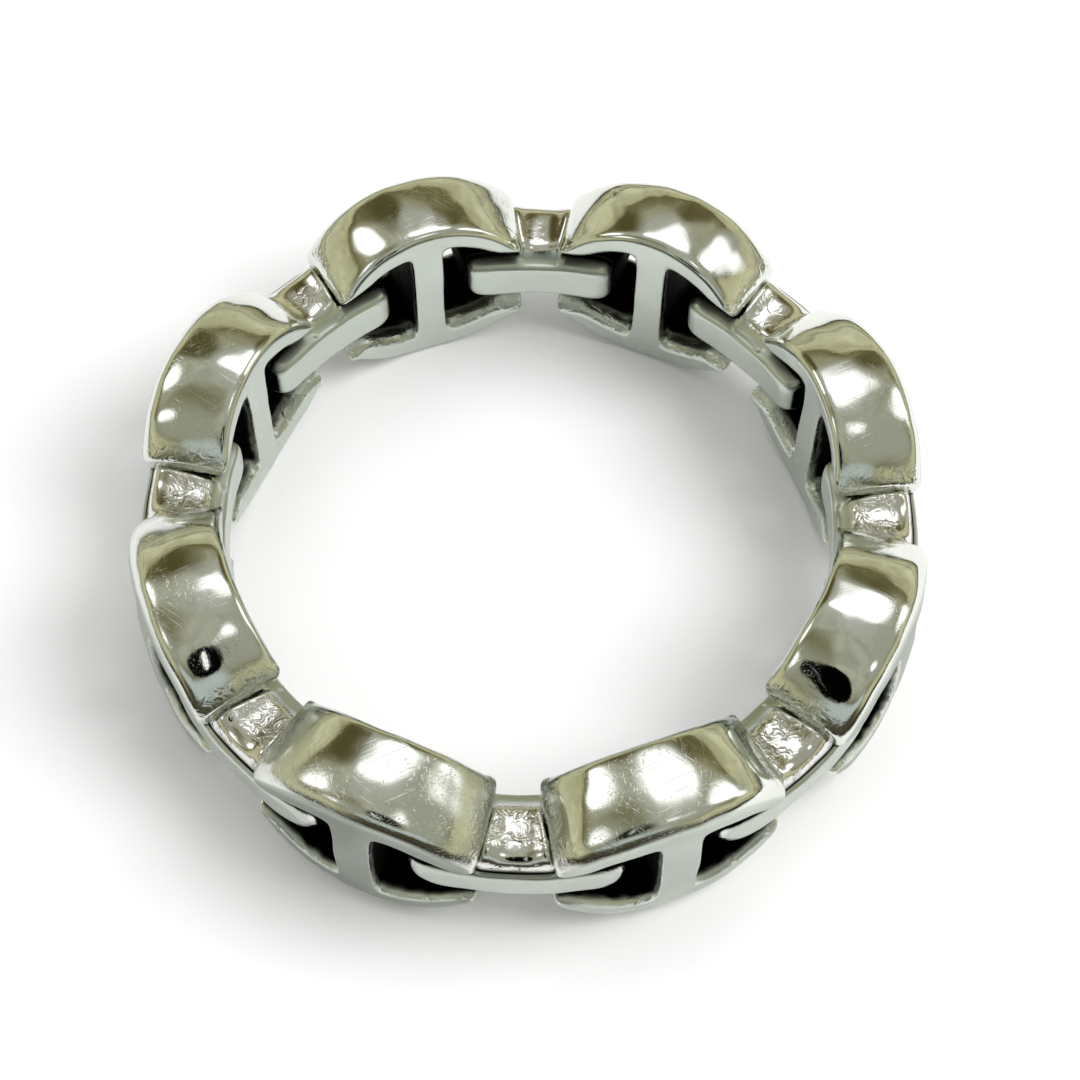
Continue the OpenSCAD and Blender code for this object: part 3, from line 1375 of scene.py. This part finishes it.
@dataclass
class Studio:
    """A white table under an olive ceiling, with soft windows that the polished domes mirror."""

    # The table. What the domes mirror of its near side darkens over the first pair of distances from the
    # ring's axis, and what the camera sees of it fades to pure white over the second.
    table_mm: float = 4000
    table_colour: str = "#f8f8f8"
    table_roughness: float = 0.9
    dark_colour: str = "#3a352a"
    dark_mm: Pair = (20, 32)
    white_mm: Pair = (40, 90)

    # The backdrop's radius, as a share of the table's width.
    backdrop_share: float = 0.45

    # The plain light that the room throws on the table.
    room_light: float = 0.5

    # The room by height: a dark skirting, pale walls with an olive line, and a brown ceiling that pales
    # overhead. The clutter makes the lines uneven, and the streaks make all of it brighter and darker.
    heights: Sequence[tuple[float, str]] = (
        (0.11, "#0d0c07"),
        (0.15, "#a5a17a"),
        (0.27, "#cfceb2"),
        (0.295, "#7d7850"),
        (0.32, "#d9d7b6"),
        (0.58, "#c3bf98"),
        (0.615, "#6a6340"),
        (0.70, "#8d8866"),
        (0.80, "#a9a68c"),
        (1.0, "#b6b6a6"),
    )
    clutter_height: float = 0.2
    streak_edges: Pair = (0.3, 0.7)
    streak_range: Pair = (0.72, 1.16)

    lamps: Sequence[Lamp] = (
        Lamp("fill", 80, 74, 400, 420, 1.1),
        Lamp("key", -3, 51, 300, 200, 5.9),
    )

    # The dark side that the viewer stands on with four pale panels in it, olive corners, pale walls, and
    # last the lit windows, some brighter than white.
    patches: Sequence[Patch] = (
        Patch(268, 6, 24, 48, "#4c493a"),
        Patch(246, 32, 5, 13, "#c0c9c6"),
        Patch(261, 30, 5, 13, "#c0c9c6"),
        Patch(277, 30, 5, 13, "#c0c9c6"),
        Patch(293, 32, 5, 13, "#c0c9c6"),
        Patch(122, 42, 2, 17, "#57502f"),
        Patch(66, 41, 2, 13, "#635c3a"),
        Patch(200, 62, 3, 20, "#7c7858"),
        Patch(330, 50, 4, 30, "#a9aa9c"),
        Patch(215, 45, 4, 26, "#a2a391"),
        Patch(78, 68, 8, 26, "#bfc0b8"),
        Patch(160, 45, 3, 16, "#adad9c"),
        Patch(18, 38, 3, 20, "#b4b5a8"),
        Patch(74, 66, 4, 16, "#ffffff", 2.0),
        Patch(54, 62, 3, 10, "#ffffff", 1.7),
        Patch(98, 67, 2, 10, "#ffffff", 1.9),
        Patch(160, 44, 1, 11, "#ffffff", 2.5),
        Patch(19, 42, 1, 12, "#ffffff", 2.1),
        Patch(13, 29, 2, 9, "#ffffff", 1.5),
        Patch(318, 66, 1, 8, "#ffffff", 1.6),
        Patch(204, 44, 2, 9, "#ffffff", 1.7),
    )

    # The black spots on the domes, and the bright slit in the left one, which the right ones don't see.
    shades: Sequence[Shade] = (
        Shade("dark_lens", (-3.5, -25.6, 32.0), (8.5, 8.0), 0.0),
        Shade("lens_glint", (-5.0, -23.5, 30.0), (2.0, 4.2), 1.3, (-11.0, -4.6, 3.0), (11.0, -4.6, 3.0)),
    )

    def built(self, target: Vector) -> None:
        """Sets the table, the backdrop, the room, the mirrored shapes and the lamps.

        Args:
            target: The point that the lamps face, in metres.
        """
        self._table()
        self._backdrop()
        self._room()
        for shade in self.shades:
            shade.hang()
        for lamp in self.lamps:
            lamp.light(target)

    def _table(self) -> None:
        """Lays the table that the ring lies on.

        It is matt white card, which gives an even white without a sheen.
        """
        bpy.ops.object.select_all(action="DESELECT")
        bpy.ops.mesh.primitive_grid_add(x_subdivisions=8, y_subdivisions=8, size=self.table_mm * MM)
        table = bpy.context.active_object
        table.name = "table"
        material = bpy.data.materials.new("matt_white_card")
        material.use_nodes = True
        tree = material.node_tree
        card = tree.nodes["Principled BSDF"]
        card.inputs["Roughness"].default_value = self.table_roughness
        card.inputs["Specular IOR Level"].default_value = 0.0
        rays = add_node(tree, "ShaderNodeLightPath").outputs
        place = add_node(tree, "ShaderNodeTexCoord").outputs["Object"]
        across = add_node(tree, "ShaderNodeSeparateXYZ", {0: place}).outputs["Y"]
        near, far = (reach * MM for reach in self.dark_mm)
        beyond = add_node(tree, "ShaderNodeMapRange", {"Value": across, "From Min": -near, "From Max": -far})
        terms = {0: beyond, 1: rays["Is Glossy Ray"]}
        mirrored = add_node(tree, "ShaderNodeMath", terms, operation="MULTIPLY")
        colours = {
            FACTOR: mirrored,
            COLOUR_A: linear(self.table_colour),
            COLOUR_B: linear(self.dark_colour),
        }
        colour = add_node(tree, "ShaderNodeMix", colours, data_type="RGBA").outputs[BLEND]
        tree.links.new(colour, card.inputs["Base Color"])
        from_ring = add_node(tree, "ShaderNodeVectorMath", {0: place}, operation="LENGTH").outputs["Value"]
        near, far = (reach * MM for reach in self.white_mm)
        edges = {"Value": from_ring, "From Min": near, "From Max": far}
        fading = add_node(tree, "ShaderNodeMapRange", edges, interpolation_type="SMOOTHSTEP")
        terms = {0: fading, 1: rays["Is Camera Ray"]}
        seen = add_node(tree, "ShaderNodeMath", terms, operation="MULTIPLY")
        white = add_node(tree, "ShaderNodeEmission", {"Color": (1, 1, 1, 1), "Strength": 1.0})
        floor = add_node(tree, "ShaderNodeMixShader", {0: seen, 1: card, 2: white})
        tree.links.new(floor.outputs[0], tree.nodes["Material Output"].inputs["Surface"])
        table.data.materials.append(material)

    def _backdrop(self) -> None:
        """Stands a lit white wall far behind, which only the camera sees."""
        bpy.ops.object.select_all(action="DESELECT")
        width = self.table_mm * MM
        bpy.ops.mesh.primitive_cylinder_add(
            vertices=64, radius=width * self.backdrop_share, depth=width, end_fill_type="NOTHING"
        )
        wall = bpy.context.active_object
        wall.name = "backdrop"
        wall.data.materials.append(glowing("lit_white_paper", 1.0))
        wall.visible_diffuse = wall.visible_glossy = wall.visible_shadow = False

    def _room(self) -> None:
        """Builds the room that the domes mirror. The table is lit by plain white light instead."""
        world = bpy.data.worlds.new("olive_room")
        bpy.context.scene.world = world
        world.use_nodes = True
        tree = world.node_tree
        tree.nodes.clear()
        away = add_node(tree, "ShaderNodeTexCoord").outputs["Generated"]
        height = add_node(tree, "ShaderNodeSeparateXYZ", {0: away}).outputs["Z"]
        shapes = {"Vector": away, "Scale": 2.2, "Detail": 2.0, "Distortion": 0.6}
        clutter = add_node(tree, "ShaderNodeTexNoise", shapes)
        terms = {0: clutter, 1: self.clutter_height, 2: height}
        shifted = add_node(tree, "ShaderNodeMath", terms, operation="MULTIPLY_ADD")
        ramp = add_node(tree, "ShaderNodeValToRGB", {0: shifted})
        set_stops(ramp, self.heights)
        shapes = {"Vector": away, "Scale": 5.0, "Detail": 4.0, "Distortion": 1.5}
        edges = {
            "Value": add_node(tree, "ShaderNodeTexNoise", shapes),
            "From Min": self.streak_edges[0],
            "From Max": self.streak_edges[1],
            "To Min": self.streak_range[0],
            "To Max": self.streak_range[1],
        }
        streaks = add_node(tree, "ShaderNodeMapRange", edges)
        terms = {0: ramp, "Scale": streaks}
        seen = add_node(tree, "ShaderNodeVectorMath", terms, operation="SCALE").outputs[0]
        for patch in self.patches:
            seen = patch.laid(tree, away, seen)
        is_diffuse = add_node(tree, "ShaderNodeLightPath").outputs["Is Diffuse Ray"]
        plain = (self.room_light,) * 3 + (1.0,)
        colours = {FACTOR: is_diffuse, COLOUR_A: seen, COLOUR_B: plain}
        light = add_node(tree, "ShaderNodeMix", colours, data_type="RGBA").outputs[BLEND]
        glow = add_node(tree, "ShaderNodeBackground", {"Color": light, "Strength": 1.0})
        add_node(tree, "ShaderNodeOutputWorld", {"Surface": glow})


@dataclass(frozen=True)
class PhotoCamera:
    """The camera, where the photograph was taken from. In millimetres and degrees."""

    distance: float = 72.34
    elevation: float = 59.98
    turn: float = 0.926
    roll: float = 1.087
    lens: float = 76.61
    sensor: float = 36
    clip: Pair = (1, 10000)
    aim: Pair = (0.33, -0.544)

    def placed(self, middle_z: float) -> None:
        """Adds the camera and makes it the scene's own.

        Args:
            middle_z: The height of the ring's middle, which the camera is aimed at.
        """
        data = bpy.data.cameras.new("photo_camera")
        data.lens = self.lens
        data.sensor_width = self.sensor
        data.clip_start, data.clip_end = self.clip[0] * MM, self.clip[1] * MM
        camera = bpy.data.objects.new("photo_camera", data)
        bpy.context.scene.collection.objects.link(camera)
        elevation, roll = math.radians(self.elevation), math.radians(self.roll)
        back = Vector((0, -math.cos(elevation), math.sin(elevation)))
        level = Vector((1, 0, 0))
        raised = back.cross(level)
        right = level * math.cos(roll) + raised * math.sin(roll)
        up = raised * math.cos(roll) - level * math.sin(roll)
        pose = Matrix((right, up, back)).transposed().to_4x4()
        pose.translation = Vector((*self.aim, 0)) + back * self.distance
        turned = Matrix.Rotation(math.radians(self.turn), 4, "Z") @ pose
        turned.translation = (turned.translation + Vector((0, 0, middle_z))) * MM
        camera.matrix_world = turned
        bpy.context.scene.camera = camera


def hand_polish(piece: Piece) -> None:
    """Makes a link's surfaces slightly uneven, each link in its own way, as a buffing wheel leaves them.

    Args:
        piece: The link, in its place in the ring.
    """
    waves = bpy.data.textures.get("polish_waves") or bpy.data.textures.new("polish_waves", "CLOUDS")
    waves.noise_scale = POLISH_WAVE_MM * MM
    waves.noise_depth = 1
    depth = POLISH_DEPTH_MM * MM
    apply_modifier(piece, "DISPLACE", texture=waves, texture_coords="LOCAL", strength=depth, mid_level=0.5)


def dress(link: Piece, nodes: Sequence[str], ring: Ring, metal: Metal, material: bpy.types.Material) -> None:
    """Puts a copy of a link in the place of each of its solids.

    Args:
        link: The link at the origin, which is removed afterwards.
        nodes: The solids that the copies stand for.
        ring: The chain's layout.
        metal: The record's slot for this kind of link. It is not used.
        material: The finish.
    """
    link.data.materials.clear()
    link.data.materials.append(material)
    for node in nodes:
        piece = ring.seat(link, node)
        wear = WEAR.get(node, Wear())
        wear.punch(piece)
        hand_polish(piece)
        wear.rub(piece)
        LOG.info("%s: %d faces", piece.name, len(piece.data.polygons))
    bpy.data.objects.remove(link)


def main() -> None:
    """Builds the links, the studio and the camera."""
    logging.basicConfig(level=logging.INFO, format="%(name)s: %(message)s")
    ring = Ring.measured()
    LOG.info("finger radius %.2f mm, cross links to %.2f mm", ring.finger_r, ring.cross_r)
    silver = SilverFinish("worn_polished_silver").material()
    cast = SilverFinish("worn_cast_silver", polished="#e2e2de").material()
    dress(AnchorLink(ring).built(), ring.anchors, ring, Metal.ANCHOR, silver)
    dress(CrossLink(ring).built(), ring.crosses, ring, Metal.CROSS, cast)
    studio = Studio()
    studio.built(Vector((0, 0, ring.middle_z * MM)))
    LOG.info("studio: %d lamps, %d patches", len(studio.lamps), len(studio.patches))
    PhotoCamera().placed(ring.middle_z)
    bpy.context.scene.view_settings.view_transform = "Standard"


if __name__ == "__main__":
    main()
